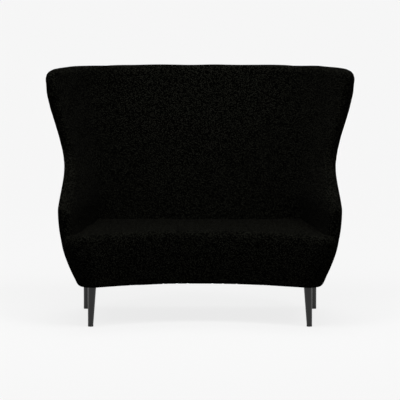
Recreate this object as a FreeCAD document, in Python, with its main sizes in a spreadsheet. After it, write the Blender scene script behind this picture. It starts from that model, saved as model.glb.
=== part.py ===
import FreeCAD, Part
import math
import os
import Sketcher

# High back settee, upholstered all over, on four tapered legs.
# Millimetres. X runs across, Y from the front to the back, Z up.
# The origin is on the floor under the middle of the settee.
# One shell goes round the seat as arms, wings and back. Its plan is a U whose
# sides open towards the front, and the U changes with the height.

doc = FreeCAD.newDocument("settee")
sheet = doc.addObject("Spreadsheet::Sheet", "Sizes")

SIZES = [
    # whole object
    ("total_width", 1598, "across the wings"),
    ("total_height", 1283, "floor to the top of the back"),
    ("base_height", 205, "floor to the underside of the base"),
    ("back_face_low", 346, "outside of the back at the base"),
    ("back_face_high", 430, "outside of the back at the top"),
    # outline seen from the front, as half widths and their heights
    ("base_half", 622, "base, at its underside"),
    ("arm_half", 727, "arms where they bulge most"),
    ("waist_half", 706, "waist between arm and wing"),
    ("arm_bulge_height", 580, "height of the arm's bulge"),
    ("waist_height", 760, "height of the waist"),
    ("wing_drop", 58, "the wings are widest this far below the top"),
    # front edge of arm and wing, seen from the side
    ("arm_front", -310, "front of the arms"),
    ("wing_low_front", 60, "wing's front edge above the arm"),
    ("wing_top_front", 10, "wing's front edge at the top"),
    ("arm_nose_height", 600, "where the arm's top starts to rise"),
    ("wing_foot_height", 860, "where the arm's top has become the wing"),
    ("corner_rise", 48, "height of the wing's rounded top corner"),
    ("corner_run", 72, "depth of the wing's rounded top corner"),
    # how far the sides open towards the front, in degrees
    ("base_angle", -1.5, "outside, at the base"),
    ("arm_angle", 7, "outside, at the arm's bulge"),
    ("wing_angle", 34, "outside and inside, at the top"),
    ("seat_angle", 11, "inside, at the seat"),
    # shell
    ("edge_thickness", 62, "arm and wing at their front edge"),
    ("back_thick_low", 107, "back at the seat"),
    ("back_thick_high", 70, "back at the top"),
    ("outer_round_low", 110, "rear corner outside, at the base"),
    ("outer_round_high", 440, "rear corner outside, at the top"),
    ("inner_round_low", 45, "rear corner inside, at the seat"),
    ("inner_round_high", 380, "rear corner inside, at the top"),
    ("edge_round", 24, "rounding of the front edges"),
    ("rim_round", 28, "rounding of the top edge"),
    ("hem_round", 12, "rounding of the bottom edge"),
    # seat
    ("seat_height", 475, "top of the seat"),
    ("seat_front_low", -248, "middle of the front at the base"),
    ("seat_front_high", -252, "middle of the front at the nose"),
    ("front_radius", 1087, "hollow curve of the front"),
    ("front_corner_low", 68, "rounding of the front corners, at the base"),
    ("front_corner_high", 87.3, "rounding of the front corners, at the top"),
    ("nose_round", 40, "rounding of the seat's front edge"),
    ("ear_round", 66, "rounding of the seat's corners at the arms"),
    ("ear_least", 5, "top of the seat's corners, beside the arms"),
    ("tuck_share", 0.35, "rounding beside arms and back, against the front's"),
    # layers
    ("cover_thick", 2.5, "cover cloth"),
    ("play", 0.3, "clearance between soft layers"),
    ("seat_play", 1.2, "clearance round the seat"),
    ("seam_play", 1.2, "clearance at the seam of inside and outside covers"),
    ("foam_thick", 26, "foam of arms, wings and back"),
    ("border_foam", 12, "foam in front of the front rail"),
    # base frame
    ("frame_bottom", 208, "underside of the rails"),
    ("rail_height", 116, "front and rear rail"),
    ("side_rail_height", 114, "side rails and front blocks"),
    ("rail_thick", 25, "rear rail"),
    ("front_rail_thick", 22, "curved front rail"),
    ("side_rail_thick", 37, "side rails"),
    ("side_rail_half", 575, "inner face of the side rails"),
    ("side_rail_front", -305, "front end of the side rails"),
    ("side_rail_back", 285, "back end of the side rails"),
    ("rear_rail_back", 325, "back face of the rear rail"),
    ("block_size", 95, "corner blocks"),
    ("block_front", -362, "front face of the front blocks"),
    ("stretcher_half", 200, "stretchers from the middle"),
    ("stretcher_thick", 22, "stretchers"),
    ("stretcher_height", 80, "stretchers"),
    # shell frame
    ("rib_thick", 18, "plywood of the ribs and back posts"),
    ("shell_rail_height", 22, "rails of the shell"),
    ("shell_rail_width", 20, "arm rails and top rails"),
    ("lumbar_width", 34, "lumbar rails"),
    ("post_half", 300, "back posts from the middle"),
    ("post_foot", 215, "foot of all posts"),
    ("rail_margin", 3, "rails clear of the padding"),
    # webbing
    ("web_thick", 2, "webbing"),
    ("web_width", 60, "webbing"),
    ("seat_web_step", 150, "straps from front to back"),
    ("cross_web_step", 105, "straps from side to side"),
    ("cross_web_start", -175, "middle of the first cross strap"),
    ("back_web_half", 322, "half length of the back straps"),
    ("back_web_start", 660, "height of the lowest back strap"),
    ("back_web_step", 140, "between back straps"),
    # legs
    ("leg_top_radius", 21.5, "leg at the top"),
    ("leg_foot_radius", 14, "leg at the foot"),
    ("glide_height", 12, "glide under each leg"),
    ("front_leg_half", 553, "front legs from the middle"),
    ("front_leg_place", -335, "front legs"),
    ("front_leg_lean", 7.5, "feet of the front legs stand further out"),
    ("front_leg_rake", -5, "feet of the front legs stand further forward"),
    ("rear_leg_half", 593.5, "rear legs from the middle"),
    ("rear_leg_place", 195, "rear legs"),
    ("rear_leg_lean", 8, "feet of the rear legs stand further out"),
    ("rear_leg_rake", 13, "feet of the rear legs stand further back"),
    ("plate_size", 44, "leg plates"),
    ("plate_thick", 3, "leg plates"),
    ("bolt_radius", 4, "bolts between leg and frame"),
    ("bolt_up", 45, "bolt above the plate"),
    ("bolt_down", 40, "bolt in the leg"),
    ("screw_radius", 2, "plate screws"),
    ("screw_head", 3.6, "radius of the screw heads"),
    ("screw_length", 20, "plate screws"),
    ("screw_spacing", 32, "between the screws of a plate"),
    ("hole_play", 0.15, "bolt and screw holes, all round"),
    ("dust_thick", 1, "dust cover"),
    ("dust_margin", 4, "dust cover in from the rails' outer faces"),
]
for row, (name, value, note) in enumerate(SIZES, start=1):
    sheet.set("A%d" % row, name)
    sheet.set("B%d" % row, str(value))
    sheet.set("C%d" % row, note)
    sheet.setAlias("B%d" % row, name)
doc.recompute()


def size(name):
    return float(sheet.get(name))



# Layers of the shell. An outer depth is measured in from the outside of the
# shell, an inner depth from the inside.
COVER = size("cover_thick")
PLAY = size("play")
FOAM_FACE = COVER + PLAY
FOAM_BACK = FOAM_FACE + size("foam_thick")
EDGE_FILL = size("edge_round") + 2 * PLAY
FRAME_OUT = FOAM_FACE + size("rail_margin")
FRAME_IN = FOAM_BACK + 2 * PLAY + size("web_thick")
OVERRUN = 25
FAR = 2 * size("total_width")
RAIL_BEND = size("front_radius") + FOAM_FACE + size("border_foam")

# Levels. The shell's soft pieces start just above the webbing.
TOP = size("total_height")
BASE = size("base_height")
RIM_CENTRE = TOP - size("rim_round")
WING_HEIGHT = TOP - size("wing_drop")
FRAME_BOTTOM = size("frame_bottom")
SIDE_RAIL_TOP = FRAME_BOTTOM + size("side_rail_height")
RAIL_TOP = FRAME_BOTTOM + size("rail_height")
SHELL_FLOOR = RAIL_TOP + size("web_thick") + 2 * PLAY
ARM_RAIL = size("arm_nose_height") - EDGE_FILL - size("rail_margin") - size("shell_rail_height")
TOP_RAIL = RIM_CENTRE - 1.4 * size("shell_rail_height")
RIB_PLACE = size("wing_low_front") + EDGE_FILL + size("rail_margin")
ARM_RIB_PLACE = size("arm_front") + EDGE_FILL + 1
EAR_CENTRE = size("seat_height") - size("ear_round")

# Flat facets on half a rear corner, on a front edge and on the seat's curves.
CORNER_STEPS = 5
EDGE_STEPS = 3
FRONT_STEPS = 7


def share(z, low, high):
    """Where z lies from low to high, from 0 to 1."""
    return min(max((z - low) / (high - low), 0.0), 1.0)


def between(z, low, high, at_low, at_high):
    """Straight change from at_low to at_high."""
    return at_low + (at_high - at_low) * share(z, low, high)


def sloped(z, low, high, at_low, at_high):
    """Straight change that carries on past both ends."""
    return at_low + (at_high - at_low) * (z - low) / (high - low)


def eased(z, low, high, at_low, at_high):
    """Change from at_low to at_high that starts and ends level."""
    s = share(z, low, high)
    return at_low + (at_high - at_low) * s * s * (3 - 2 * s)


def steps(low, high, count):
    """Evenly spaced values after low, up to and with high."""
    return [low + (high - low) * n / count for n in range(1, count + 1)]


def half_width(z):
    """Half width of the outline seen from the front."""
    bulge = size("arm_bulge_height")
    waist = size("waist_height")
    if z < bulge:
        drop = size("arm_half") - size("base_half")
        return size("arm_half") - drop * ((bulge - z) / (bulge - BASE)) ** 2
    if z < waist:
        return eased(z, bulge, waist, size("arm_half"), size("waist_half"))
    return eased(z, waist, WING_HEIGHT, size("waist_half"), size("total_width") / 2)


def edge_place(z):
    """Y of the front edge of arm and wing."""
    nose = size("arm_nose_height")
    foot = size("wing_foot_height")
    if z <= foot:
        turn = math.pi / 2 * (1 - share(z, nose, foot))
        rise = size("wing_low_front") - size("arm_front")
        return size("wing_low_front") - rise * (1 - math.cos(turn))
    return eased(z, foot, TOP, size("wing_low_front"), size("wing_top_front"))


def corner_recess(z):
    """How far the wing's rounded top corner takes the front edge back."""
    s = share(z, TOP - size("corner_rise"), TOP)
    return size("corner_run") * (1 - math.sqrt(1 - s * s))


def outer_angle(z):
    """How far the outside opens towards the front."""
    bulge = size("arm_bulge_height")
    if z < bulge:
        degrees = between(z, BASE, bulge, size("base_angle"), size("arm_angle"))
    else:
        degrees = between(z, bulge, TOP, size("arm_angle"), size("wing_angle"))
    return math.radians(degrees)


def inner_angle(z):
    """How far the inside opens towards the front."""
    return math.radians(sloped(z, size("seat_height"), TOP, size("seat_angle"), size("wing_angle")))


def edge_angle(z):
    """The arm ends square across, the wing square to its own side."""
    return eased(z, size("arm_nose_height"), size("wing_foot_height"), 0.0, inner_angle(z))


def back_face(z):
    """Y of the outside of the back."""
    return sloped(z, BASE, TOP, size("back_face_low"), size("back_face_high"))


def inner_back(z):
    """Y of the inside of the back."""
    thick = sloped(z, size("seat_height"), TOP, size("back_thick_low"), size("back_thick_high"))
    return back_face(z) - thick


def vector(x, y, z=0.0):
    return FreeCAD.Vector(x, y, z)


def heading(angle):
    return vector(math.cos(angle), math.sin(angle))


def meet(point, along, other, other_along):
    """Where two straight lines of one level cross."""
    cross = along.x * other_along.y - along.y * other_along.x
    gap = other - point
    return point + along * ((gap.x * other_along.y - gap.y * other_along.x) / cross)


def edge_vertex(z):
    """Sharp front corner of the outside, placed so that its rounding keeps the outline."""
    side = outer_angle(z)
    edge = edge_angle(z)
    radius = size("edge_round")
    centre = meet(heading(side) * -radius, heading(side + math.pi / 2),
                  heading(edge + math.pi / 2) * radius, heading(edge))
    return vector(half_width(z) - centre.x - radius, edge_place(z), z)


class Course:
    """The right half of the U at one level: a side line, a corner arc and the back."""

    def __init__(self, z, family, depth):
        if family == "outer":
            self.angle = outer_angle(z)
            self.back = back_face(z) - depth
            self.radius = -depth + sloped(z, BASE, TOP, size("outer_round_low"),
                                          size("outer_round_high"))
            across = depth
        else:
            self.angle = inner_angle(z)
            self.back = inner_back(z) + depth
            self.radius = depth + between(z, size("seat_height"), TOP,
                                          size("inner_round_low"), size("inner_round_high"))
            across = size("edge_thickness") - depth
        self.z = z
        self.along = heading(self.angle + math.pi / 2)
        out = heading(self.angle)
        self.start = edge_vertex(z) - out * across
        self.centre = meet(self.start - out * self.radius, self.along,
                           vector(0, self.back - self.radius, z), vector(1, 0))

    def at(self, angle):
        return self.centre + heading(angle) * self.radius

    def split(self, gap):
        """Angle where the side piece meets the back piece, moved round by a gap."""
        return (self.angle + math.pi / 2) / 2 + gap / self.radius

    def arc(self, start, end):
        return [self.at(start + (end - start) * n / CORNER_STEPS) for n in range(CORNER_STEPS + 1)]

    def x_at(self, y):
        """X of the side line or of the corner arc at a given Y."""
        if y > self.at(self.angle).y:
            return self.centre.x + math.sqrt(self.radius ** 2 - (y - self.centre.y) ** 2)
        return self.start.x + (y - self.start.y) / self.along.y * self.along.x


def rounded(vertex, one, other, radius, count):
    """Points on the arc that rounds a corner, from one neighbour to the other."""
    first = (one - vertex).normalize()
    second = (other - vertex).normalize()
    half = first.getAngle(second) / 2
    middle = (first + second).normalize()
    centre = vertex + middle * (radius / math.sin(half))
    spoke = vertex + first * (radius / math.tan(half)) - centre
    turn = math.degrees(math.pi - 2 * half)
    if first.cross(second).z > 0:
        turn = -turn
    return [centre + FreeCAD.Rotation(vector(0, 0, 1), turn * n / count).multVec(spoke)
            for n in range(count + 1)]


def flip(points):
    """The same points on the other side of the middle, in reverse order."""
    return [vector(-p.x, p.y, p.z) for p in reversed(points)]


def half_corner(outer, inner, gap, tool):
    """Outer arc up to the split of a rear corner, and inner arc from there; a tool runs on past it."""
    out = outer.arc(outer.angle if gap < 0 else math.pi / 2, outer.split(gap))
    within = inner.arc(inner.split(gap), inner.angle if gap < 0 else math.pi / 2)
    if tool:
        over = math.copysign(OVERRUN, -gap)
        out.append(outer.at(outer.split(over)))
        within.insert(0, inner.at(inner.split(over)))
    return out, within


def side_outline(outer, inner, inset, recess_z, round_edge=True, tool=False):
    """Section of an arm and wing layer: half the rear corner, the side, the front edge."""
    z = outer.z
    across = heading(edge_angle(z))
    inward = heading(edge_angle(z) + math.pi / 2)
    recess_z = min(recess_z, TOP)
    front = vector(edge_vertex(z).x, edge_place(recess_z), z)
    front = front + inward * (inset + corner_recess(recess_z))
    tip_out = meet(outer.start, outer.along, front, across)
    tip_in = meet(inner.start, inner.along, front, across)
    out, within = half_corner(outer, inner, -PLAY / 2, tool)
    points = out + within
    if not round_edge:
        return points + [tip_in, tip_out]
    wide = (tip_out - tip_in).Length
    radius = max(min(size("edge_round") - inset, 0.42 * wide), 0.3 * wide)
    points += rounded(tip_in, points[-1], tip_out, radius, EDGE_STEPS)
    points += rounded(tip_out, tip_in, points[0], radius, EDGE_STEPS)
    return points


def back_outline(outer, inner, tool=False):
    """Section of a back layer: the back and half of each rear corner."""
    out, within = half_corner(outer, inner, PLAY / 2, tool)
    out.reverse()
    within.reverse()
    return out + flip(out) + flip(within) + within


def facet_loft(outlines, rising=True):
    """Closed solid through level outlines, joined by flat facets.

    The facets' diagonals rise along the outline on the right, or fall if rising is false,
    and the left is a mirror image, so that neighbouring pieces have the same facets."""
    faces = [Part.Face(Part.makePolygon(end + end[:1])) for end in (outlines[0], outlines[-1])]
    for low, high in zip(outlines, outlines[1:]):
        for n in range(len(low)):
            m = (n + 1) % len(low)
            a, b = (n, m) if (low[n].x + low[m].x > 0) == rising else (m, n)
            faces.append(Part.Face(Part.makePolygon([low[a], low[b], high[b], low[a]])))
            faces.append(Part.Face(Part.makePolygon([low[a], high[b], high[a], low[a]])))
    skin = Part.Compound(faces)
    skin.sewShape()
    solid = Part.Solid(skin.Shells[0])
    if solid.Volume < 0:
        solid.reverse()
    return solid


def prism(points, travel):
    """Flat outline carried along a straight way."""
    return Part.Face(Part.makePolygon(points + points[:1])).extrude(travel)


def shell_levels():
    """Levels of the shell up to where its top edge starts to round over."""
    nose = size("arm_nose_height")
    foot = size("wing_foot_height")
    return ([SHELL_FLOOR] + steps(SHELL_FLOOR, size("arm_bulge_height"), 4) + [nose]
            + steps(nose, foot, 7) + steps(foot, WING_HEIGHT, 5)
            + steps(WING_HEIGHT, RIM_CENTRE, 2))


def rim_levels(depth):
    """Level and inset of a layer's sections round the top edge."""
    radius = size("rim_round") - depth
    turns = (math.pi / 6, math.pi / 3, math.pi / 2)
    return [(RIM_CENTRE + radius * math.sin(turn), radius * (1 - math.cos(turn))) for turn in turns]


def hem_levels():
    """Level and inset of the sections round the bottom edge."""
    radius = size("hem_round")
    turns = (math.pi / 2, math.pi / 4, 0)
    return [(BASE + radius * (1 - math.sin(turn)), radius * (1 - math.cos(turn))) for turn in turns]


def layer_levels(depth, tool):
    below = [(SHELL_FLOOR - OVERRUN, 0.0)] if tool else []
    return below + [(z, 0.0) for z in shell_levels()] + rim_levels(depth)


def side_layer(depth, tool=False):
    """Arm and wing, in from their surface by depth, closed all round."""
    return facet_loft([
        side_outline(Course(z, "outer", depth + inset), Course(z, "inner", depth + inset),
                     depth + inset, z + depth, tool=tool)
        for z, inset in layer_levels(depth, tool)])


def back_layer(depth, tool=False):
    """Back, in from its surface by depth, closed all round."""
    return facet_loft([
        back_outline(Course(z, "outer", depth + inset), Course(z, "inner", depth + inset), tool)
        for z, inset in layer_levels(depth, tool)], rising=False)


def room_levels(top):
    """Levels of a room in the shell, with one where the arm's nose starts to round."""
    nose = size("arm_nose_height") - EDGE_FILL
    inside = [z for z in shell_levels() if z < top - 1]
    return [SHELL_FLOOR - OVERRUN] + sorted(inside + [nose]) + [top]


def side_room(top):
    """Space behind the foam of arm and wing, open to the outside."""
    return facet_loft([
        side_outline(Course(z, "outer", -OVERRUN), Course(z, "inner", FOAM_BACK),
                     EDGE_FILL, z + EDGE_FILL, round_edge=False, tool=True)
        for z in room_levels(top)])


def back_room(top):
    """Space behind the foam of the back, open to the outside."""
    return facet_loft([
        back_outline(Course(z, "outer", -OVERRUN), Course(z, "inner", FOAM_BACK), tool=True)
        for z in room_levels(top)], rising=False)


def seam_inset(z):
    """How far the inside cover wraps round the front edge; none behind the seat's corner."""
    return between(z, EAR_CENTRE, EAR_CENTRE + size("ear_round") / 2, 0, size("edge_round"))


def seam_tool_side():
    """Takes the outer skin off the inside cover as far as its seam."""
    return facet_loft([
        side_outline(Course(z, "outer", -OVERRUN), Course(z, "outer", OVERRUN),
                     seam_inset(z) - size("seam_play"), z, round_edge=False, tool=True)
        for z in room_levels(RIM_CENTRE + PLAY)])


def seam_tool_back():
    return facet_loft([
        back_outline(Course(z, "outer", -OVERRUN), Course(z, "outer", OVERRUN), tool=True)
        for z in room_levels(RIM_CENTRE + PLAY)], rising=False)


def outside_levels():
    low = hem_levels()
    between_levels = [(z, 0.0) for z in steps(low[-1][0], SHELL_FLOOR, 2)[:-1]]
    return low + between_levels + [(z, 0.0) for z in shell_levels()]


def outside_side():
    """Outside of arm and wing: a thick layer, hollowed from within to the cover's thickness."""
    def layer(near, far, tool):
        outlines = [side_outline(Course(z, "outer", near + inset), Course(z, "outer", far + inset),
                                 seam_inset(z) - (OVERRUN if tool else 0), z, round_edge=False, tool=tool)
                    for z, inset in outside_levels()]
        if tool:
            outlines.insert(0, [point - vector(0, 0, OVERRUN) for point in outlines[0]])
            outlines.append([point + vector(0, 0, OVERRUN) for point in outlines[-1]])
        return facet_loft(outlines)

    return layer(0, OVERRUN, tool=False).cut(layer(COVER, 2 * OVERRUN, tool=True))


def outside_back():
    return facet_loft([back_outline(Course(z, "outer", inset), Course(z, "outer", inset + COVER))
                       for z, inset in outside_levels()], rising=False)


# The seat is a T in plan. Its corners reach in front of the arms.

def round_in(z, radius, depth):
    """Inset of a layer where the top edge rounds over."""
    up = max(0.0, z - (size("seat_height") - radius))
    layer = radius - depth
    return layer - math.sqrt(max(0.0, layer * layer - up * up))


def front_centre(z):
    """Y of the centre of the hollow front curve."""
    middle = between(z, BASE, size("seat_height") - size("nose_round"),
                     size("seat_front_low"), size("seat_front_high"))
    return middle - size("front_radius")


def seat_outline(z, depth, hem=0.0):
    """Section of a seat layer, in from its surface by depth."""
    front_in = depth + hem + round_in(z, size("nose_round"), depth)
    ear_in = depth + hem + round_in(z, size("ear_round"), depth)
    tuck = depth + size("tuck_share") * round_in(z, size("nose_round"), depth)
    step = size("arm_front") - size("seat_play") - tuck
    beside = Course(z, "inner", -size("seat_play") - tuck)
    side = max(half_width(z) - ear_in, beside.x_at(step) + size("ear_least"))
    radius = between(z, BASE, EAR_CENTRE, size("front_corner_low"), size("front_corner_high"))
    radius -= depth + hem + 1.3 * round_in(z, size("nose_round"), depth)
    bend = size("front_radius") + front_in
    centre = vector(0, front_centre(z), z)
    reach = bend + radius
    corner = vector(side - radius, centre.y + math.sqrt(reach ** 2 - (side - radius) ** 2), z)
    low = math.atan2(corner.y - centre.y, corner.x)
    points = [centre + heading(math.pi / 2 + (low - math.pi / 2) * n / FRONT_STEPS) * bend
              for n in range(FRONT_STEPS + 1)]
    points += [corner + heading(low + math.pi + (math.pi - low) * n / CORNER_STEPS) * radius
               for n in range(1, CORNER_STEPS + 1)]
    points += [vector(side, step, z), vector(beside.x_at(step), step, z)]
    points += beside.arc(beside.angle, math.pi / 2)
    return points + flip(points[1:])


def seat_layer(depth, tool=False):
    turns = [math.radians(turn) for turn in (0, 18, 35, 50, 63, 74, 83, 90)]
    radius = size("ear_round") - depth
    places = [(z, inset) for z, inset in hem_levels()]
    places += [(z, 0.0) for z in steps(places[-1][0], SHELL_FLOOR, 2)]
    places += [(SHELL_FLOOR + (EAR_CENTRE - SHELL_FLOOR) / 2, 0.0)]
    places += [(EAR_CENTRE + radius * math.sin(turn), 0.0) for turn in turns]
    outlines = [seat_outline(z, depth, hem) for z, hem in places]
    if tool:
        outlines.insert(0, [point - vector(0, 0, OVERRUN) for point in outlines[0]])
    return facet_loft(outlines)


def hollow_curve(radius, y, z):
    """Points on the front rail's curve, from the middle to where it reaches a given Y."""
    centre = vector(0, front_centre(BASE), z)
    end = math.asin((y - centre.y) / radius)
    return [centre + heading(math.pi / 2 + (end - math.pi / 2) * n / FRONT_STEPS) * radius
            for n in range(FRONT_STEPS + 1)]


def stem_cut():
    """Space below the seat behind its front, taken by the base frame."""
    step = size("arm_front") - size("seat_play")
    low = BASE - OVERRUN
    points = hollow_curve(RAIL_BEND, step, low)
    points += [vector(FAR, step, low), vector(FAR, FAR, low)]
    return prism(points + flip(points[1:]), vector(0, 0, SHELL_FLOOR - low))


def frame_room():
    """Space inside the seat foam for the front rail and its blocks."""
    outer = size("side_rail_half") + PLAY
    front = size("block_front") - PLAY
    low = BASE - OVERRUN
    points = hollow_curve(RAIL_BEND, front, low)
    points += [vector(outer, front, low), vector(outer, FAR, low)]
    return prism(points + flip(points[1:]), vector(0, 0, RAIL_TOP + size("web_thick") + PLAY - low))


pieces = []


def keep(piece, label):
    """Notes a finished piece and names it."""
    piece.Label = label
    pieces.append(piece)
    return piece


def shaped(label, shape):
    """A piece that follows the shell, whose curves no sketch or primitive gives."""
    piece = doc.addObject("Part::Feature", label)
    piece.Shape = shape
    piece.Placement = FreeCAD.Placement()
    return keep(piece, label)


def shaped_pair(label, shape):
    """The right piece and its mirror image."""
    shaped(label + "_right", shape)
    shaped(label + "_left", shape.mirror(vector(0, 0), vector(1, 0)))


# Upholstery of the shell and the seat.
shaped_pair("inside_arm_cover", side_layer(0).cut(side_layer(COVER, tool=True)).cut(seam_tool_side()))
shaped("inside_back_cover", back_layer(0).cut(back_layer(COVER, tool=True)).cut(seam_tool_back()))
shaped_pair("arm_foam", side_layer(FOAM_FACE).cut(side_room(TOP - EDGE_FILL)))
shaped("back_foam", back_layer(FOAM_FACE).cut(back_room(TOP - EDGE_FILL)))
shaped_pair("outside_arm_cover", outside_side())
shaped("outside_back_cover", outside_back())
shaped("seat_cover", seat_layer(0).cut(seat_layer(COVER, tool=True)).cut(stem_cut()))
shaped("seat_foam", seat_layer(FOAM_FACE).cut(stem_cut()).cut(frame_room()))


# Shell frame: upright ribs and posts, and level rails between them.

def band(z, outer, inner, inset, height, recess_z):
    """Level rail in arm and wing, from the front edge to the split in the rear corner."""
    return prism(side_outline(outer, inner, inset, recess_z, round_edge=False), vector(0, 0, height))


def rib(label, place, top):
    """Plywood rib across the space in arm or wing, with a foot beside the side rail."""
    foot = size("side_rail_half") + size("side_rail_thick")
    back = place + size("rib_thick")
    above = [z for z in shell_levels() if z < top - 1] + [top]
    below = [size("post_foot")] + steps(size("post_foot"), SIDE_RAIL_TOP, 2)
    outside = [vector(Course(z, "outer", FRAME_OUT).x_at(back), place, z) for z in below + above]
    inside = [vector(Course(z, "inner", FRAME_IN).x_at(place), place, z)
              for z in [SIDE_RAIL_TOP + PLAY] + above]
    points = outside + inside[::-1]
    points += [vector(foot, place, SIDE_RAIL_TOP), vector(foot, place, size("post_foot"))]
    shaped_pair(label, prism(points, vector(0, size("rib_thick"), 0)))


rib("arm_front_rib", ARM_RIB_PLACE, ARM_RAIL)
rib("wing_rib", RIB_PLACE, TOP_RAIL)

RAIL = size("shell_rail_height")
WIDE = size("shell_rail_width")


def cut_at(shape, low, high):
    """The part of a rail between two values of Y."""
    return shape.common(Part.makeBox(2 * FAR, high - low, 2 * TOP, vector(-FAR, low, -TOP / 2)))


middle = ARM_RAIL + RAIL / 2
outer_band = side_outline(Course(middle, "outer", FRAME_OUT), Course(middle, "outer", FRAME_OUT + WIDE),
                          EDGE_FILL, middle, round_edge=False)
inner_band = side_outline(Course(middle, "inner", FRAME_IN + size("lumbar_width")),
                          Course(middle, "inner", FRAME_IN + 1), EDGE_FILL, middle, round_edge=False)
for points in (outer_band, inner_band):
    for point in points:
        point.z = ARM_RAIL
up = vector(0, 0, RAIL)
shaped_pair("arm_rail", cut_at(prism(outer_band, up), ARM_RIB_PLACE, RIB_PLACE))
shaped_pair("side_lumbar_rail", cut_at(prism(inner_band, up), RIB_PLACE + size("rib_thick"), FAR))
lumbar = back_outline(Course(middle, "inner", FRAME_IN + size("lumbar_width")),
                      Course(middle, "inner", FRAME_IN + 1))
for point in lumbar:
    point.z = ARM_RAIL
shaped("back_lumbar_rail", prism(lumbar, up))

middle = TOP_RAIL + RAIL / 2
wing_band = side_outline(Course(middle, "outer", FRAME_OUT), Course(middle, "outer", FRAME_OUT + WIDE),
                         EDGE_FILL + size("rail_margin"), TOP_RAIL + RAIL + EDGE_FILL, round_edge=False)
top_band = back_outline(Course(middle, "outer", FRAME_OUT), Course(middle, "outer", FRAME_OUT + WIDE))
for points in (wing_band, top_band):
    for point in points:
        point.z = TOP_RAIL
shaped_pair("wing_top_rail", prism(wing_band, up))
shaped("back_top_rail", prism(top_band, up))


def post(label, x):
    """Back post: stands in front of the rear rail and on it, notched for the lumbar rail."""
    def front(z):
        return inner_back(z) + FRAME_IN

    rail_front = size("rear_rail_back") - size("rail_thick")
    notch = inner_back(ARM_RAIL + RAIL / 2) + FRAME_IN + size("lumbar_width") + size("hole_play")
    low = ARM_RAIL - size("hole_play")
    high = ARM_RAIL + RAIL + size("hole_play")
    sides = [(front(RAIL_TOP), size("post_foot")), (rail_front, size("post_foot")), (rail_front, RAIL_TOP),
             (back_face(RAIL_TOP) - FRAME_OUT, RAIL_TOP), (back_face(TOP_RAIL) - FRAME_OUT, TOP_RAIL),
             (front(TOP_RAIL), TOP_RAIL), (front(high), high), (notch, high), (notch, low),
             (front(low), low), (front(RAIL_TOP), RAIL_TOP)]
    points = [vector(x - size("rib_thick") / 2, y, z) for y, z in sides]
    shaped(label, prism(points, vector(size("rib_thick"), 0, 0)))


post("back_post_right", size("post_half"))
post("back_post_centre", 0)
post("back_post_left", -size("post_half"))

straps = []
for n in range(4):
    low = size("back_web_start") + n * size("back_web_step")
    high = low + size("web_width")
    near, far = FOAM_BACK + PLAY, FOAM_BACK + PLAY + size("web_thick")
    corners = [(low, near), (low, far), (high, far), (high, near)]
    points = [vector(-size("back_web_half"), inner_back(z) + y, z) for z, y in corners]
    straps.append(prism(points, vector(2 * size("back_web_half"), 0, 0)))
shaped("back_webbing", Part.Compound(straps))


# Base frame, webbing and legs, each bound to the sheet.

def bind(piece, **cells):
    for name, cell in cells.items():
        piece.setExpression(name.replace("_", "."), cell)


def box(name, length, width, height, x, y, z):
    """Part::Box whose sizes and place are expressions of the sheet's cells."""
    piece = doc.addObject("Part::Box", name)
    bind(piece, Length=length, Width=width, Height=height)
    piece.setExpression("Placement.Base.x", x)
    piece.setExpression("Placement.Base.y", y)
    piece.setExpression("Placement.Base.z", z)
    return piece


def cylinder(name, radius, height, x, y, z):
    piece = doc.addObject("Part::Cylinder", name)
    bind(piece, Radius=radius, Height=height)
    piece.setExpression("Placement.Base.x", x)
    piece.setExpression("Placement.Base.y", y)
    piece.setExpression("Placement.Base.z", z)
    return piece


def cone(name, low_radius, high_radius, height, x, y, z):
    piece = doc.addObject("Part::Cone", name)
    bind(piece, Radius1=low_radius, Radius2=high_radius, Height=height)
    piece.setExpression("Placement.Base.x", x)
    piece.setExpression("Placement.Base.y", y)
    piece.setExpression("Placement.Base.z", z)
    return piece


def cut(name, base, tool):
    piece = doc.addObject("Part::Cut", name)
    piece.Base = base
    piece.Tool = tool
    return piece


def joined(name, parts):
    piece = doc.addObject("Part::MultiFuse", name)
    piece.Shapes = parts
    return piece


S = "Sizes."
SIDES = (("right", ""), ("left", "-"))
SCREW_PLACES = ((1, 1), (1, -1), (-1, 1), (-1, -1))
BOLT_HOLE = S + "bolt_radius + " + S + "hole_play"
SCREW_HOLE = S + "screw_radius + " + S + "hole_play"
BEND = "%sfront_radius + %scover_thick + %splay + %sborder_foam" % ((S,) * 4)
CURVE_CENTRE = "%sseat_front_low - %sfront_radius" % (S, S)


def screw_place(sign, place, n):
    """Cells for the X and Y of one of a leg plate's four screws."""
    dx, dy = SCREW_PLACES[n]
    return ("%s%s%s_leg_half + %d * %sscrew_spacing / 2" % (sign, S, place, dx, S),
            "%s%s_leg_place + %d * %sscrew_spacing / 2" % (S, place, dy, S))


def holes_up(name, sign, place):
    """Holes for a leg's bolt and for the screws of its plate, up into the frame."""
    start = S + "frame_bottom - 1"
    holes = [cylinder(name + "_bolt", BOLT_HOLE, S + "bolt_up + 1",
                      sign + S + place + "_leg_half", S + place + "_leg_place", start)]
    for n in range(4):
        x, y = screw_place(sign, place, n)
        holes.append(cylinder("%s_screw_%d" % (name, n), SCREW_HOLE, S + "screw_length + 1", x, y, start))
    return holes


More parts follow.
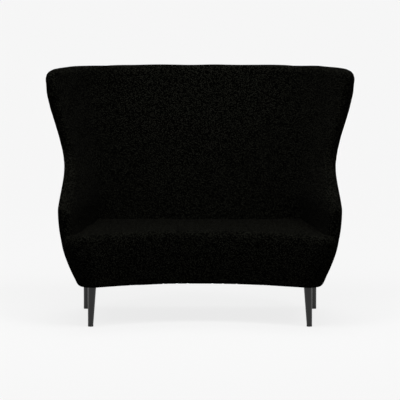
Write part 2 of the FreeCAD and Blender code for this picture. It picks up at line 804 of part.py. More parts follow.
for side, sign in SIDES:
    low = S + "side_rail_half" if side == "right" else "-%sside_rail_half - %sside_rail_thick" % (S, S)
    rail = box("rail_" + side, S + "side_rail_thick", S + "side_rail_back - " + S + "side_rail_front",
               S + "side_rail_height", low, S + "side_rail_front", S + "frame_bottom")
    bores = joined("rail_bores_" + side, holes_up("rail_" + side, sign, "rear"))
    keep(cut("side_rail_" + side, rail, bores), "side_rail_" + side)
    inner = "%sside_rail_half - %sblock_size" % (S, S) if side == "right" else "-%sside_rail_half" % S
    block = box("block_" + side, S + "block_size", S + "block_size", S + "side_rail_height",
                inner, S + "block_front", S + "frame_bottom")
    hollow = cylinder("block_hollow_" + side, BEND, S + "side_rail_height + 2", "0", CURVE_CENTRE,
                      S + "frame_bottom - 1")
    bores = joined("block_bores_" + side, [hollow] + holes_up("block_" + side, sign, "front"))
    keep(cut("front_corner_block_" + side, block, bores), "front_corner_block_" + side)
    keep(box("rear_block_" + side, S + "block_size", S + "block_size", S + "side_rail_height",
             inner, S + "rear_rail_back - " + S + "block_size", S + "frame_bottom"),
         "rear_corner_block_" + side)
    left_face = "%s%sstretcher_half - %sstretcher_thick / 2" % (sign, S, S)
    stretcher = box("stretcher_" + side, S + "stretcher_thick", "1", S + "stretcher_height",
                    left_face, "0", S + "frame_bottom")
    start_cell = "%s + sqrt((%s + %sfront_rail_thick)^2 - (%sstretcher_half - %sstretcher_thick / 2)^2)" % (
        CURVE_CENTRE, BEND, S, S, S)
    stretcher.setExpression("Placement.Base.y", start_cell)
    stretcher.setExpression("Width", "%srear_rail_back - %srail_thick - (%s)" % (S, S, start_cell))
    keep(stretcher, "seat_stretcher_" + side)

keep(box("rear_rail", "2 * (%sside_rail_half - %sblock_size)" % (S, S), S + "rail_thick", S + "rail_height",
         "-(%sside_rail_half - %sblock_size)" % (S, S), S + "rear_rail_back - " + S + "rail_thick",
         S + "frame_bottom"), "rear_rail")


def plane_of(body, role):
    for feature in body.Origin.OriginFeatures:
        if feature.Role == role:
            return feature
    raise RuntimeError("no plane " + role)


def new_sketch(body, name, role="XY_Plane"):
    sketch = body.newObject("Sketcher::SketchObject", name)
    sketch.AttachmentSupport = [(plane_of(body, role), "")]
    sketch.MapMode = "FlatFace"
    return sketch


# Front rail, bent to the hollow of the seat's front.
body = doc.addObject("PartDesign::Body", "front_rail")
sketch = new_sketch(body, "front_rail_plan")
half = size("side_rail_half") - size("block_size")
far = RAIL_BEND + size("front_rail_thick")
turn_near = math.asin(half / RAIL_BEND)
turn_far = math.asin(half / far)
up_angle = math.pi / 2
normal = vector(0, 0, 1)
sketch.addGeometry(Part.ArcOfCircle(Part.Circle(vector(0, 0), normal, RAIL_BEND),
                                    up_angle - turn_near, up_angle + turn_near), False)
sketch.addGeometry(Part.ArcOfCircle(Part.Circle(vector(0, 0), normal, far),
                                    up_angle - turn_far, up_angle + turn_far), False)
for x in (half, -half):
    sketch.addGeometry(Part.LineSegment(vector(x, RAIL_BEND * math.cos(turn_near)),
                                        vector(x, far * math.cos(turn_far))), False)
C = Sketcher.Constraint
sketch.addConstraint([
    C("Coincident", 0, 3, -1, 1), C("Coincident", 1, 3, -1, 1),
    C("Coincident", 0, 1, 2, 1), C("Coincident", 1, 1, 2, 2),
    C("Coincident", 0, 2, 3, 1), C("Coincident", 1, 2, 3, 2),
    C("Vertical", 2), C("Vertical", 3),
])
near_radius = sketch.addConstraint(C("Radius", 0, RAIL_BEND))
far_radius = sketch.addConstraint(C("Radius", 1, far))
right_end = sketch.addConstraint(C("DistanceX", -1, 1, 2, 1, half))
left_end = sketch.addConstraint(C("DistanceX", 3, 1, -1, 1, half))
sketch.setExpression("Constraints[%d]" % near_radius, BEND)
sketch.setExpression("Constraints[%d]" % far_radius, BEND + " + %sfront_rail_thick" % S)
for end in (right_end, left_end):
    sketch.setExpression("Constraints[%d]" % end, "%sside_rail_half - %sblock_size" % (S, S))
pad = body.newObject("PartDesign::Pad", "front_rail_pad")
pad.Profile = sketch
pad.setExpression("Length", S + "rail_height")
body.setExpression("Placement.Base.y", CURVE_CENTRE)
body.setExpression("Placement.Base.z", S + "frame_bottom")
keep(body, "front_rail")

# Seat webbing: straps from side to side on the side rails, and straps from
# the front rail to the rear rail on top of them.
across = []
for n in range(4):
    across.append(box("cross_strap_%d" % n, "2 * (%sside_rail_half + %sside_rail_thick) - 4" % (S, S),
                      S + "web_width", S + "web_thick",
                      "-(%sside_rail_half + %sside_rail_thick) + 2" % (S, S),
                      "%scross_web_start + %d * %scross_web_step - %sweb_width / 2" % (S, n, S, S),
                      "%sframe_bottom + %sside_rail_height" % (S, S)))
keep(joined("cross_webbing", across), "seat_webbing_across")
along = []
for n in range(6):
    offset = abs(n - 2.5)
    strap = box("long_strap_%d" % n, S + "web_width", "1", S + "web_thick",
                "%.1f * %sseat_web_step - %sweb_width / 2" % (n - 2.5, S, S), "0",
                "%sframe_bottom + %srail_height" % (S, S))
    start_cell = "%s + sqrt((%s)^2 - (%.1f * %sseat_web_step - %sweb_width / 2)^2) + 3" % (
        CURVE_CENTRE, BEND, offset, S, S)
    strap.setExpression("Placement.Base.y", start_cell)
    strap.setExpression("Width", "%srear_rail_back - 3 - (%s)" % (S, start_cell))
    along.append(strap)
keep(joined("long_webbing", along), "seat_webbing_lengthwise")


# Legs. Each is a body that leans from the plate to its foot.

def leg(label, sign, place):
    """Round taper cut level at both ends. It stands on the floor's side of the plate, drilled for its bolt."""
    height = "(%sbase_height - %sglide_height)" % (S, S)
    lean = "%s%s_leg_lean" % (S, place)
    rake = "%s%s_leg_rake" % (S, place)
    slope = "sqrt(%s^2 + %s^2) / %s" % (lean, rake, height)
    length = "(%s * sqrt(1 + (%s)^2))" % (height, slope)
    waste = "%shole_play * 30" % S
    taper = "(%sleg_top_radius - %sleg_foot_radius) * %s / %s" % (S, S, waste, length)
    share_x = "%s%s * %s / %s" % (sign, lean, waste, length)
    share_y = "%s * %s / %s" % (rake, waste, length)
    blank = cone(label + "_blank", "%sleg_foot_radius - %s" % (S, taper), "%sleg_top_radius + %s" % (S, taper),
                 "%s + 2 * %s" % (length, waste),
                 "%s%s%s_leg_half + %s%s + %s" % (sign, S, place, sign, lean, share_x),
                 "%s%s_leg_place + %s + %s" % (S, place, rake, share_y),
                 "%sglide_height - %s * %s / %s" % (S, waste, height, length))
    blank.setExpression("Placement.Rotation.Angle", "atan(%s)" % slope)
    blank.setExpression("Placement.Rotation.Axis.x", rake)
    blank.setExpression("Placement.Rotation.Axis.y", "-(%s%s)" % (sign, lean))
    blank.setExpression("Placement.Rotation.Axis.z", "0")
    slab = box(label + "_slab", "%stotal_width * 2" % S, "%stotal_width * 2" % S, height,
               "-%stotal_width" % S, "-%stotal_width" % S, S + "glide_height")
    level = doc.addObject("Part::Common", label + "_level")
    level.Base = blank
    level.Tool = slab
    bore = cylinder(label + "_bore", BOLT_HOLE, "%sbolt_down + 1" % S, "%s%s%s_leg_half" % (sign, S, place),
                    "%s%s_leg_place" % (S, place), "%sbase_height - %sbolt_down" % (S, S))
    keep(cut(label, level, bore), label)


bolts = []
screws = []
plates = []
plate_holes = []
for place in ("front", "rear"):
    for side, sign in SIDES:
        corner = place + "_" + side
        leg("leg_" + corner, sign, place)
        x = "%s%s%s_leg_half" % (sign, S, place)
        y = "%s%s_leg_place" % (S, place)

        glide = doc.addObject("PartDesign::Body", "glide_" + corner)
        ring = new_sketch(glide, "glide_plan_" + corner)
        ring.addGeometry(Part.Circle(vector(0, 0), normal, size("leg_foot_radius")), False)
        ring.addConstraint(C("Coincident", 0, 3, -1, 1))
        radius = ring.addConstraint(C("Radius", 0, size("leg_foot_radius")))
        ring.setExpression("Constraints[%d]" % radius, S + "leg_foot_radius")
        disc = glide.newObject("PartDesign::Pad", "glide_pad_" + corner)
        disc.Profile = ring
        disc.setExpression("Length", S + "glide_height")
        glide.setExpression("Placement.Base.x", "%s + %s%s%s_leg_lean" % (x, sign, S, place))
        glide.setExpression("Placement.Base.y", "%s + %s%s_leg_rake" % (y, S, place))
        keep(glide, "leg_glide_" + corner)

        blank = box("plate_" + corner, S + "plate_size", S + "plate_size", S + "plate_thick",
                    x + " - %splate_size / 2" % S, y + " - %splate_size / 2" % S, S + "base_height")
        bores = [cylinder("plate_bore_" + corner, BOLT_HOLE, S + "plate_thick + 2", x, y,
                          S + "base_height - 1")]
        for n in range(4):
            at_x, at_y = screw_place(sign, place, n)
            name = "%s_%d" % (corner, n)
            bores.append(cone("countersink_" + name, "%sscrew_head + %shole_play" % (S, S),
                              SCREW_HOLE, S + "plate_thick", at_x, at_y, S + "base_height"))
            head = cone("screw_head_" + name, S + "screw_head", S + "screw_radius", S + "plate_thick",
                        at_x, at_y, S + "base_height")
            shank = cylinder("screw_shank_" + name, S + "screw_radius", S + "screw_length",
                             at_x, at_y, "%sbase_height + %splate_thick" % (S, S))
            screws.append(joined("screw_" + name, [head, shank]))
        plates.append(cut("plate_cut_" + corner, blank, joined("plate_bores_" + corner, bores)))
        bolts.append(cylinder("bolt_" + corner, S + "bolt_radius", "%sbolt_down + %sbolt_up" % (S, S),
                              x, y, "%sbase_height - %sbolt_down" % (S, S)))
        plate_holes.append(box("dust_window_" + corner, S + "plate_size + 4", S + "plate_size + 4",
                               S + "dust_thick + 2", x + " - %splate_size / 2 - 2" % S,
                               y + " - %splate_size / 2 - 2" % S,
                               "%sframe_bottom - %sdust_thick - 1" % (S, S)))
keep(joined("all_plates", plates), "leg_plates")
keep(joined("all_bolts", bolts), "hanger_bolts")
keep(joined("all_screws", screws), "leg_plate_screws")


# Dust cover under the frame, with a window round each plate.
margin = size("dust_margin")
outer = size("side_rail_half") + size("side_rail_thick") - margin
corner = size("side_rail_half") - margin
under = FRAME_BOTTOM - size("dust_thick")
points = hollow_curve(RAIL_BEND + margin, size("block_front") + margin, under)
points += [vector(x, y, under) for x, y in (
    (corner, size("block_front") + margin), (corner, size("side_rail_front") + margin),
    (outer, size("side_rail_front") + margin), (outer, size("side_rail_back") - margin),
    (corner, size("side_rail_back") - margin), (corner, size("rear_rail_back") - margin))]
cloth = prism(points + flip(points[1:]), vector(0, 0, size("dust_thick")))
doc.recompute()
for window in plate_holes:
    cloth = cloth.cut(window.Shape)
shaped("dust_cover", cloth)


doc.recompute()
for thing in doc.Objects:
    if "Invalid" in thing.State or "Error" in thing.State:
        raise RuntimeError("failed: " + thing.Name)
for piece in pieces:
    if piece.Shape.isNull() or not piece.Shape.isValid():
        raise RuntimeError("bad shape: " + piece.Label)
os.makedirs("parts", exist_ok=True)
for piece in pieces:
    piece.Shape.exportStep("parts/%s.step" % piece.Label)
whole = Part.Compound([piece.Shape for piece in pieces]).BoundBox
print(len(pieces), "pieces from", whole.XMin, whole.YMin, whole.ZMin, "to", whole.XMax, whole.YMax, whole.ZMax)
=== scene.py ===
"""High back settee: black boucle over a wrap-around shell and a tight seat, on four tapered legs."""

import math

import bmesh
import bpy
import numpy as np
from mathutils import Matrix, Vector, kdtree, noise


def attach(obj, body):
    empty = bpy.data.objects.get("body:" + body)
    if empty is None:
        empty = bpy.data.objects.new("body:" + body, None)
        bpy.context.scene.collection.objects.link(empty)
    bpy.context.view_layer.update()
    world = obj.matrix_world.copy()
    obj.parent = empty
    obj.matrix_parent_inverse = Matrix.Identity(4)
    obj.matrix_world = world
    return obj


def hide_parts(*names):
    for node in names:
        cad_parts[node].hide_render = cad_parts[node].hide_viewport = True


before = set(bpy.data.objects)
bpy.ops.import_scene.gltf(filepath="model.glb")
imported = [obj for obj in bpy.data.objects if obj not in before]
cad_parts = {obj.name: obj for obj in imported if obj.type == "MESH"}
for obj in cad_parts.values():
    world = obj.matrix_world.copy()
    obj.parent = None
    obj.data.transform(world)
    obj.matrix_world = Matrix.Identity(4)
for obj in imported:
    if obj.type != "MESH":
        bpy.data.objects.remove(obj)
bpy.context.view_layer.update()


# Materials. All are procedural and follow the object's own coordinates.

def new_material(name):
    mat = bpy.data.materials.new(name)
    mat.use_nodes = True
    nodes = mat.node_tree.nodes
    shader = nodes["Principled BSDF"]
    return mat, nodes, mat.node_tree.links, shader


def boucle():
    """Black looped wool: small curls, some lighter than others, with a soft sheen."""
    mat, nodes, links, shader = new_material("black_boucle")
    where = nodes.new("ShaderNodeTexCoord")

    curls = nodes.new("ShaderNodeTexVoronoi")
    curls.inputs["Scale"].default_value = 150
    curls.inputs["Randomness"].default_value = 1.0
    bend = nodes.new("ShaderNodeTexNoise")
    bend.inputs["Scale"].default_value = 60
    bend.inputs["Detail"].default_value = 3
    shift = nodes.new("ShaderNodeVectorMath")
    shift.operation = "MULTIPLY_ADD"
    shift.inputs[1].default_value = (0.012, 0.012, 0.012)
    links.new(where.outputs["Object"], bend.inputs["Vector"])
    links.new(bend.outputs["Color"], shift.inputs[0])
    links.new(where.outputs["Object"], shift.inputs[2])
    links.new(shift.outputs["Vector"], curls.inputs["Vector"])

    tufts = nodes.new("ShaderNodeTexNoise")
    tufts.inputs["Scale"].default_value = 120
    tufts.inputs["Detail"].default_value = 4
    links.new(where.outputs["Object"], tufts.inputs["Vector"])

    height = nodes.new("ShaderNodeMath")
    height.operation = "MULTIPLY_ADD"
    height.inputs[1].default_value = 0.7
    links.new(tufts.outputs["Fac"], height.inputs[0])
    up = nodes.new("ShaderNodeMath")
    up.operation = "SUBTRACT"
    up.inputs[0].default_value = 0.6
    links.new(curls.outputs["Distance"], up.inputs[1])
    links.new(up.outputs["Value"], height.inputs[2])

    bump = nodes.new("ShaderNodeBump")
    bump.inputs["Strength"].default_value = 1.0
    bump.inputs["Distance"].default_value = 0.006
    links.new(height.outputs["Value"], bump.inputs["Height"])
    links.new(bump.outputs["Normal"], shader.inputs["Normal"])

    tone = nodes.new("ShaderNodeValToRGB")
    tone.color_ramp.elements[0].position = 0.38
    tone.color_ramp.elements[0].color = (0.0008, 0.0008, 0.0006, 1)
    tone.color_ramp.elements[1].position = 0.75
    tone.color_ramp.elements[1].color = (0.0142, 0.0146, 0.0113, 1)
    links.new(height.outputs["Value"], tone.inputs["Fac"])
    links.new(tone.outputs["Color"], shader.inputs["Base Color"])

    shader.inputs["Roughness"].default_value = 0.95
    shader.inputs["Specular IOR Level"].default_value = 0.0
    shader.inputs["Sheen Weight"].default_value = 0.004
    shader.inputs["Sheen Roughness"].default_value = 0.5
    shader.inputs["Sheen Tint"].default_value = (1.0, 0.98, 0.92, 1)
    return mat


def grained(name, dark, light, roughness, scale=(14, 14, 1.6)):
    """Wood grain along Z, for the legs, or bare for the frame inside."""
    mat, nodes, links, shader = new_material(name)
    where = nodes.new("ShaderNodeTexCoord")
    stretch = nodes.new("ShaderNodeMapping")
    stretch.inputs["Scale"].default_value = scale
    grain = nodes.new("ShaderNodeTexNoise")
    grain.inputs["Scale"].default_value = 9
    grain.inputs["Detail"].default_value = 6
    grain.inputs["Roughness"].default_value = 0.6
    tone = nodes.new("ShaderNodeValToRGB")
    tone.color_ramp.elements[0].position = 0.35
    tone.color_ramp.elements[0].color = dark
    tone.color_ramp.elements[1].position = 0.7
    tone.color_ramp.elements[1].color = light
    bump = nodes.new("ShaderNodeBump")
    bump.inputs["Strength"].default_value = 0.15
    bump.inputs["Distance"].default_value = 0.0006
    links.new(where.outputs["Object"], stretch.inputs["Vector"])
    links.new(stretch.outputs["Vector"], grain.inputs["Vector"])
    links.new(grain.outputs["Fac"], tone.inputs["Fac"])
    links.new(tone.outputs["Color"], shader.inputs["Base Color"])
    links.new(grain.outputs["Fac"], bump.inputs["Height"])
    links.new(bump.outputs["Normal"], shader.inputs["Normal"])
    shader.inputs["Roughness"].default_value = roughness
    shader.inputs["Specular IOR Level"].default_value = 0.42
    return mat


def plain_cloth(name, dark, light, scale):
    """Fine plain weave, for the lining and the webbing."""
    mat, nodes, links, shader = new_material(name)
    where = nodes.new("ShaderNodeTexCoord")
    weave = nodes.new("ShaderNodeTexWave")
    weave.inputs["Scale"].default_value = scale
    weave.inputs["Distortion"].default_value = 0.4
    weave.inputs["Detail"].default_value = 2
    tone = nodes.new("ShaderNodeValToRGB")
    tone.color_ramp.elements[0].color = dark
    tone.color_ramp.elements[1].color = light
    bump = nodes.new("ShaderNodeBump")
    bump.inputs["Strength"].default_value = 0.4
    bump.inputs["Distance"].default_value = 0.0005
    links.new(where.outputs["Object"], weave.inputs["Vector"])
    links.new(weave.outputs["Fac"], tone.inputs["Fac"])
    links.new(tone.outputs["Color"], shader.inputs["Base Color"])
    links.new(weave.outputs["Fac"], bump.inputs["Height"])
    links.new(bump.outputs["Normal"], shader.inputs["Normal"])
    shader.inputs["Roughness"].default_value = 0.9
    return mat


def steel():
    mat, nodes, links, shader = new_material("zinc_plated_steel")
    where = nodes.new("ShaderNodeTexCoord")
    cloud = nodes.new("ShaderNodeTexNoise")
    cloud.inputs["Scale"].default_value = 220
    tone = nodes.new("ShaderNodeValToRGB")
    tone.color_ramp.elements[0].color = (0.42, 0.42, 0.40, 1)
    tone.color_ramp.elements[1].color = (0.62, 0.62, 0.60, 1)
    links.new(where.outputs["Object"], cloud.inputs["Vector"])
    links.new(cloud.outputs["Fac"], tone.inputs["Fac"])
    links.new(tone.outputs["Color"], shader.inputs["Base Color"])
    shader.inputs["Metallic"].default_value = 1.0
    shader.inputs["Roughness"].default_value = 0.38
    return mat


BOUCLE = boucle()
LEG = grained("black_stained_wood", (0.006, 0.006, 0.0055, 1), (0.013, 0.0125, 0.012, 1), 0.30)
GLIDE = grained("black_glide", (0.004, 0.004, 0.004, 1), (0.008, 0.008, 0.008, 1), 0.55, (40, 40, 40))
TIMBER = grained("bare_timber", (0.36, 0.24, 0.13, 1), (0.58, 0.43, 0.27, 1), 0.6, (1.6, 14, 14))
PLYWOOD = grained("bare_plywood", (0.44, 0.31, 0.18, 1), (0.66, 0.50, 0.33, 1), 0.6, (14, 2, 14))
LINING = plain_cloth("black_lining", (0.006, 0.006, 0.006, 1), (0.016, 0.016, 0.016, 1), 500)
WEBBING = plain_cloth("jute_webbing", (0.22, 0.17, 0.10, 1), (0.42, 0.34, 0.22, 1), 300)
STEEL = steel()

FINISHES = (("leg_glide", GLIDE), ("leg_plate", STEEL), ("hanger", STEEL), ("leg_", LEG),
            ("dust_cover", LINING), ("webbing", WEBBING), ("rib", PLYWOOD), ("post", PLYWOOD))


def finish_of(name):
    for part, mat in FINISHES:
        if part in name:
            return mat
    return TIMBER


def set_finish(obj, mat):
    obj.data.materials.clear()
    obj.data.materials.append(mat)


# Soft pieces. Each grows from the CAD cover and the foam behind it.

def joined_copy(name, nodes):
    """A new mesh object that holds copies of CAD nodes."""
    bm = bmesh.new()
    for node in nodes:
        bm.from_mesh(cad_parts[node].data)
    bmesh.ops.remove_doubles(bm, verts=bm.verts, dist=0.00002)
    mesh = bpy.data.meshes.new(name)
    bm.to_mesh(mesh)
    bm.free()
    obj = bpy.data.objects.new(name, mesh)
    bpy.context.scene.collection.objects.link(obj)
    return obj


def apply_all(obj):
    """Bakes the object's modifiers into its mesh."""
    depsgraph = bpy.context.evaluated_depsgraph_get()
    mesh = bpy.data.meshes.new_from_object(obj.evaluated_get(depsgraph))
    obj.modifiers.clear()
    obj.data = mesh


def even_skin(obj, voxel, grow=0.0):
    """One closed skin of even small faces, grown first so that it bridges the seam gaps."""
    swell = obj.modifiers.new("grow", "DISPLACE")
    swell.strength = grow
    swell.mid_level = 0
    remesh = obj.modifiers.new("skin", "REMESH")
    remesh.mode = "VOXEL"
    remesh.voxel_size = voxel
    apply_all(obj)


def read_vertices(mesh, what):
    values = np.empty(len(mesh.vertices) * 3, dtype=np.float32)
    mesh.vertices.foreach_get(what, values)
    return values.reshape(-1, 3)


def points(mesh):
    return read_vertices(mesh, "co").astype(float)


def put_points(mesh, places):
    mesh.vertices.foreach_set("co", places.astype(np.float32).ravel())
    mesh.update()


def neighbour_mean(mesh, upright=False):
    """A function that averages values over each point's neighbours, or only those above and below."""
    places = points(mesh)
    size = len(places)
    ends = np.empty(len(mesh.edges) * 2, dtype=np.int32)
    mesh.edges.foreach_get("vertices", ends)
    one, two = ends[0::2], ends[1::2]
    weight = np.ones(len(one))
    if upright:
        run = places[two] - places[one]
        weight = (run[:, 2] ** 2 / np.maximum((run ** 2).sum(axis=1), 1e-12)) ** 2 + 1e-4
    total = np.bincount(one, weight, size) + np.bincount(two, weight, size)

    def mean(values):
        near = [np.bincount(one, weight * flat[two], size) + np.bincount(two, weight * flat[one], size)
                for flat in values.T]
        return np.stack(near, axis=1) / total[:, None]

    return mean


def smoothed(values, mean, rounds, part=0.5):
    """Moves the values towards their neighbours' mean, a few rounds long."""
    for _ in range(rounds):
        values = values + part * (mean(values) - values)
    return values


def ease(obj, rounds):
    """Smooths the skin, then gives back what the rounded edges lost."""
    mean = neighbour_mean(obj.data)
    before = points(obj.data)
    after = smoothed(before, mean, rounds)
    lost = smoothed(before - after, mean, rounds // 2)
    put_points(obj.data, after + lost)


def ease_upright(obj, rounds, share):
    """Smooths up and down only, where share says so."""
    before = points(obj.data)
    part = 0.5 * share(before)[:, None]
    put_points(obj.data, smoothed(before, neighbour_mean(obj.data, upright=True), rounds, part))


def ramp(value, start, end):
    """0 before start, 1 after end and smooth between."""
    way = np.clip((value - start) / (end - start), 0, 1)
    return way * way * (3 - 2 * way)


TOP_DIP = 0.007
CORNER_LIFT = 0.013
WING_REACH = (0.47, 0.71)
TOP_REACH = (1.02, 1.20)


def shape_top(obj):
    """The cloth's top edge dips a little in the middle and lifts at the wings' corners."""
    places = points(obj.data)
    outward = ramp(np.abs(places[:, 0]), *WING_REACH)
    places[:, 2] += (CORNER_LIFT * outward - TOP_DIP) * ramp(places[:, 2], *TOP_REACH)
    put_points(obj.data, places)


CLOTH_PRESSURE = 4
CLOTH_FRAMES = 20
CARRIED_ROUNDS = 12


def plump(obj, voxel, cap, above):
    """Cloth under pressure, on a coarser copy. Its capped way is carried over to the fine skin."""
    coarse = bpy.data.objects.new("coarse_copy", obj.data.copy())
    bpy.context.scene.collection.objects.link(coarse)
    even_skin(coarse, voxel)
    before = points(coarse.data)
    cloth = coarse.modifiers.new("cloth", "CLOTH")
    cloth.settings.use_pressure = True
    cloth.settings.uniform_pressure_force = CLOTH_PRESSURE
    cloth.settings.effector_weights.gravity = 0
    cloth.point_cache.frame_start = 1
    cloth.point_cache.frame_end = CLOTH_FRAMES
    for number in range(1, CLOTH_FRAMES + 1):
        bpy.context.scene.frame_set(number)
    apply_all(coarse)
    bpy.context.scene.frame_set(1)
    way = points(coarse.data) - before
    length = np.maximum(np.linalg.norm(way, axis=1), 1e-9)
    way *= np.minimum(1, cap / length)[:, None]
    bpy.data.objects.remove(coarse)

    tree = kdtree.KDTree(len(before))
    for number, place in enumerate(before):
        tree.insert(place, number)
    tree.balance()
    places = points(obj.data)
    nearest = [tree.find(place)[1] for place in places]
    move = smoothed(way[nearest], neighbour_mean(obj.data), CARRIED_ROUNDS) * above(places)[:, None]
    put_points(obj.data, places + move)


UNEVENNESS = 0.002


def soften(obj, scale):
    """Small slow unevenness of padding, along the normals."""
    mesh = obj.data
    moves = [v.normal * (UNEVENNESS * noise.noise(v.co * scale)) for v in mesh.vertices]
    for vertex, move in zip(mesh.vertices, moves):
        vertex.co += move


def dress(obj, nodes):
    """Gives a padded piece its cloth, and puts it in the place of its CAD nodes."""
    set_finish(obj, BOUCLE)
    obj.data.polygons.foreach_set("use_smooth", [True] * len(obj.data.polygons))
    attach(obj, "root")
    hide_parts(*nodes)


# Back, wings and arms: one skin, because the photograph shows no seam between them.

VOXEL = 0.005
ROUNDS = 22
SEAM_BRIDGE = 0.002
NOSE_HEIGHT = 0.600
NOSE_REACH = 0.07
NOSE_INNER = (0.46, 0.56)
NOSE_OUTER = (0.655, 0.700)
SHELL_NODES = ["inside_back_cover", "back_foam", "inside_arm_cover_right", "arm_foam_right",
               "inside_arm_cover_left", "arm_foam_left"]


def at_arm_nose(places):
    """1 at the height where the arm's front turns into the wing, 0 at the outer edge."""
    near = np.exp(-((places[:, 2] - NOSE_HEIGHT) / NOSE_REACH) ** 2)
    across = np.abs(places[:, 0])
    return near * ramp(across, *NOSE_INNER) * (1 - ramp(across, *NOSE_OUTER))


shell = joined_copy("inside_back_and_wings", SHELL_NODES)
even_skin(shell, VOXEL, SEAM_BRIDGE)
ease(shell, ROUNDS)
ease_upright(shell, ROUNDS * 7, at_arm_nose)
shape_top(shell)
soften(shell, 7)
dress(shell, SHELL_NODES)


# Tight seat: swollen a little by a cloth simulation, and drawn in at its two front corners.

SEAT_BRIDGE = 0.0006
SEAT_SHRINK = 0.002
SEAT_CAP = 0.006
COARSE_VOXEL = 0.011
HEM = (0.225, 0.300)
FOLD_PLACE = (0.655, 0.415)
FOLD_TURN = math.radians(-35)
FOLD_DEPTH = 0.005
FOLD_WIDTH = 0.008
FOLD_REACH = 0.032
FOLD_FRONT = (0.22, 0.30)
SEAT_NODES = ["seat_cover", "seat_foam"]


def above_the_hem(places):
    """0 where the cloth is held under the rails, 1 above."""
    return ramp(places[:, 2], *HEM)


def pull_folds(obj):
    """A short slanting fold at each front corner, where the seat cloth is drawn round to the arm."""
    mesh = obj.data
    places = points(mesh)
    across = np.abs(places[:, 0]) - FOLD_PLACE[0]
    up = places[:, 2] - FOLD_PLACE[1]
    along = across * math.cos(FOLD_TURN) + up * math.sin(FOLD_TURN)
    off = up * math.cos(FOLD_TURN) - across * math.sin(FOLD_TURN)
    depth = FOLD_DEPTH * np.exp(-(off / FOLD_WIDTH) ** 2 - (along / FOLD_REACH) ** 2)
    depth *= ramp(-places[:, 1], *FOLD_FRONT)
    put_points(mesh, places - read_vertices(mesh, "normal") * depth[:, None])


seat = joined_copy("tight_seat", SEAT_NODES)
even_skin(seat, VOXEL, SEAT_BRIDGE)
ease(seat, ROUNDS // 2)
places = points(seat.data)
shrink = SEAT_SHRINK * above_the_hem(places)
put_points(seat.data, places - read_vertices(seat.data, "normal") * shrink[:, None])
plump(seat, COARSE_VOXEL, SEAT_CAP, above_the_hem)
ease(seat, 6)
pull_folds(seat)
soften(seat, 6)
dress(seat, SEAT_NODES)


# Outside covers: cloth stretched over the shell, grown from the CAD skin.

PILE = 0.0015
SHARP_TURN = 0.9
OUTSIDE_PIECES = {"outside_arm_right": "outside_arm_cover_right",
                  "outside_arm_left": "outside_arm_cover_left",
                  "outside_back": "outside_back_cover"}


def stretched_skin(name, node):
    """The cover's faces joined, rounded by subdivision between its sharp edges, and thickened by the pile."""
    skin = joined_copy(name, [node])
    mesh = skin.data
    bm = bmesh.new()
    bm.from_mesh(mesh)
    bmesh.ops.join_triangles(bm, faces=bm.faces, angle_face_threshold=0.6,
                             angle_shape_threshold=3.1)
    crease = bm.edges.layers.float.new("crease_edge")
    for edge in bm.edges:
        if len(edge.link_faces) == 2 and edge.calc_face_angle() > SHARP_TURN:
            edge[crease] = 1.0
    bm.to_mesh(mesh)
    bm.free()
    fine = skin.modifiers.new("fine", "SUBSURF")
    fine.levels = 2
    fine.render_levels = 2
    pile = skin.modifiers.new("pile", "DISPLACE")
    pile.strength = PILE
    pile.mid_level = 0
    apply_all(skin)
    return skin


for piece, cover in OUTSIDE_PIECES.items():
    outside = stretched_skin(piece, cover)
    shape_top(outside)
    dress(outside, [cover])


# The CAD pieces that stay.

REPLACED = {*SHELL_NODES, *SEAT_NODES, *OUTSIDE_PIECES.values()}
for name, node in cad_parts.items():
    if name in REPLACED:
        continue
    set_finish(node, finish_of(name))
    node.data.set_sharp_from_angle(angle=math.radians(35))


# Pale studio floor and light.

def seen_directly(nodes, links):
    """1 for camera, glossy and transmission rays, so that the pale ground adds no light to the object."""
    path = nodes.new("ShaderNodeLightPath")
    total = path.outputs["Is Camera Ray"]
    for kind in ("Is Glossy Ray", "Is Transmission Ray"):
        add = nodes.new("ShaderNodeMath")
        add.operation = "ADD"
        add.use_clamp = True
        links.new(total, add.inputs[0])
        links.new(path.outputs[kind], add.inputs[1])
        total = add.outputs["Value"]
    return total


FLOOR_COLOUR = 0.14
FLOOR_GLOW = 0.829
FLOOR_REACH = 60
LAMP_ON_FLOOR = 0.4
LAMP_PLACE = (0, -0.8, 2.55)
LAMP_WATTS = 30
SKY_LIGHT = 0.30
SKY_SEEN = 0.92


def lamp_share(nodes, links):
    """How much of the near lamp's light reaches a place on the floor: 1 under it, 0 far away."""
    where = nodes.new("ShaderNodeTexCoord")
    away = nodes.new("ShaderNodeVectorMath")
    away.operation = "SUBTRACT"
    away.inputs[1].default_value = (LAMP_PLACE[0], LAMP_PLACE[1], 0)
    square = nodes.new("ShaderNodeVectorMath")
    square.operation = "DOT_PRODUCT"
    rise = nodes.new("ShaderNodeMath")
    rise.operation = "MULTIPLY_ADD"
    rise.inputs[1].default_value = 1 / LAMP_PLACE[2] ** 2
    rise.inputs[2].default_value = 1
    share = nodes.new("ShaderNodeMath")
    share.operation = "POWER"
    share.inputs[1].default_value = -2
    links.new(where.outputs["Object"], away.inputs[0])
    links.new(away.outputs["Vector"], square.inputs[0])
    links.new(away.outputs["Vector"], square.inputs[1])
    links.new(square.outputs["Value"], rise.inputs[0])
    links.new(rise.outputs["Value"], share.inputs[0])
    return share.outputs["Value"]


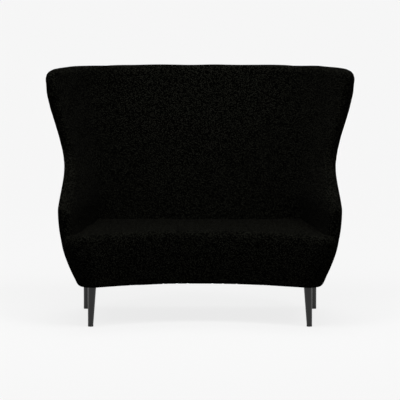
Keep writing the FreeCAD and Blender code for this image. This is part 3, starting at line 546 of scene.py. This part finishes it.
def studio_floor():
    """A wide floor whose glow only the camera and reflections see, evened out under the near lamp."""
    mesh = bpy.data.meshes.new("studio_floor")
    far = FLOOR_REACH
    mesh.from_pydata([(-far, -far, 0), (far, -far, 0), (far, far, 0), (-far, far, 0)], [], [(0, 1, 2, 3)])
    floor = bpy.data.objects.new("studio_floor", mesh)
    bpy.context.scene.collection.objects.link(floor)
    mat, nodes, links, shader = new_material("pale_floor")
    shader.inputs["Base Color"].default_value = (FLOOR_COLOUR, FLOOR_COLOUR, FLOOR_COLOUR, 1)
    shader.inputs["Roughness"].default_value = 1.0
    shader.inputs["Specular IOR Level"].default_value = 0.0
    level = nodes.new("ShaderNodeMath")
    level.operation = "MULTIPLY_ADD"
    lamp_light = LAMP_ON_FLOOR * LAMP_WATTS / (math.pi * LAMP_PLACE[2]) ** 2
    level.inputs[1].default_value = -FLOOR_COLOUR * lamp_light
    level.inputs[2].default_value = FLOOR_GLOW
    links.new(lamp_share(nodes, links), level.inputs[0])
    strength = nodes.new("ShaderNodeMath")
    strength.operation = "MULTIPLY"
    links.new(seen_directly(nodes, links), strength.inputs[0])
    links.new(level.outputs["Value"], strength.inputs[1])
    glow = nodes.new("ShaderNodeEmission")
    glow.inputs["Color"].default_value = (1, 1, 1, 1)
    links.new(strength.outputs["Value"], glow.inputs["Strength"])
    both = nodes.new("ShaderNodeAddShader")
    links.new(shader.outputs["BSDF"], both.inputs[0])
    links.new(glow.outputs["Emission"], both.inputs[1])
    links.new(both.outputs["Shader"], nodes["Material Output"].inputs["Surface"])
    floor.data.materials.append(mat)


def studio_sky():
    """White to the camera and in reflections, and a dimmer soft light on the object."""
    world = bpy.data.worlds.new("studio")
    bpy.context.scene.world = world
    world.use_nodes = True
    nodes, links = world.node_tree.nodes, world.node_tree.links
    nodes["Background"].inputs["Color"].default_value = (1, 1, 1, 1)
    strength = nodes.new("ShaderNodeMath")
    strength.operation = "MULTIPLY_ADD"
    strength.inputs[1].default_value = SKY_SEEN - SKY_LIGHT
    strength.inputs[2].default_value = SKY_LIGHT
    links.new(seen_directly(nodes, links), strength.inputs[0])
    links.new(strength.outputs["Value"], nodes["Background"].inputs["Strength"])


def sun(name, strength, spread, azimuth, elevation):
    """Soft lamp far away. Azimuth 0 stands in front, 90 at the right; elevation is above the floor."""
    data = bpy.data.lights.new(name, "SUN")
    data.energy = strength
    data.angle = math.radians(spread)
    lamp = bpy.data.objects.new(name, data)
    a, e = math.radians(azimuth), math.radians(elevation)
    way = Vector((math.sin(a) * math.cos(e), -math.cos(a) * math.cos(e), math.sin(e)))
    lamp.rotation_euler = way.to_track_quat("Z", "Y").to_euler()
    bpy.context.scene.collection.objects.link(lamp)


def softbox(name, watts, place, aim, size):
    """Wide lamp near the object, so that its light fades towards the seat's front."""
    data = bpy.data.lights.new(name, "AREA")
    data.energy = watts
    data.shape = "RECTANGLE"
    data.size, data.size_y = size
    lamp = bpy.data.objects.new(name, data)
    lamp.location = place
    lamp.rotation_euler = (Vector(place) - Vector(aim)).to_track_quat("Z", "Y").to_euler()
    bpy.context.scene.collection.objects.link(lamp)


studio_floor()
studio_sky()
sun("left_softbox", 0.30, 16, -52, 52)
sun("right_softbox", 0.45, 16, 52, 52)
sun("rear_softbox", 0.60, 30, 180, 66)
softbox("top_softbox", LAMP_WATTS, LAMP_PLACE, (0, -0.1, 0.5), (2.4, 0.8))


# Camera: the photograph's view, from far away and slightly above.

SENSOR_WIDTH = 36
FOCAL_PIXELS = 3229
IMAGE_WIDTH = 400
CAMERA_PITCH = math.radians(7.7)
CAMERA_DISTANCE = 16.468
CAMERA_TARGET = Vector((0, -0.340, 0.6534))


def photo_camera():
    data = bpy.data.cameras.new("photo_view")
    data.sensor_width = SENSOR_WIDTH
    data.lens = FOCAL_PIXELS / IMAGE_WIDTH * SENSOR_WIDTH
    data.clip_end = 200
    camera = bpy.data.objects.new("photo_view", data)
    back = Vector((0, -math.cos(CAMERA_PITCH), math.sin(CAMERA_PITCH)))
    camera.location = CAMERA_TARGET + back * CAMERA_DISTANCE
    camera.rotation_euler = (math.pi / 2 - CAMERA_PITCH, 0, 0)
    bpy.context.scene.collection.objects.link(camera)
    bpy.context.scene.camera = camera


photo_camera()
bpy.context.scene.view_settings.view_transform = "Standard"
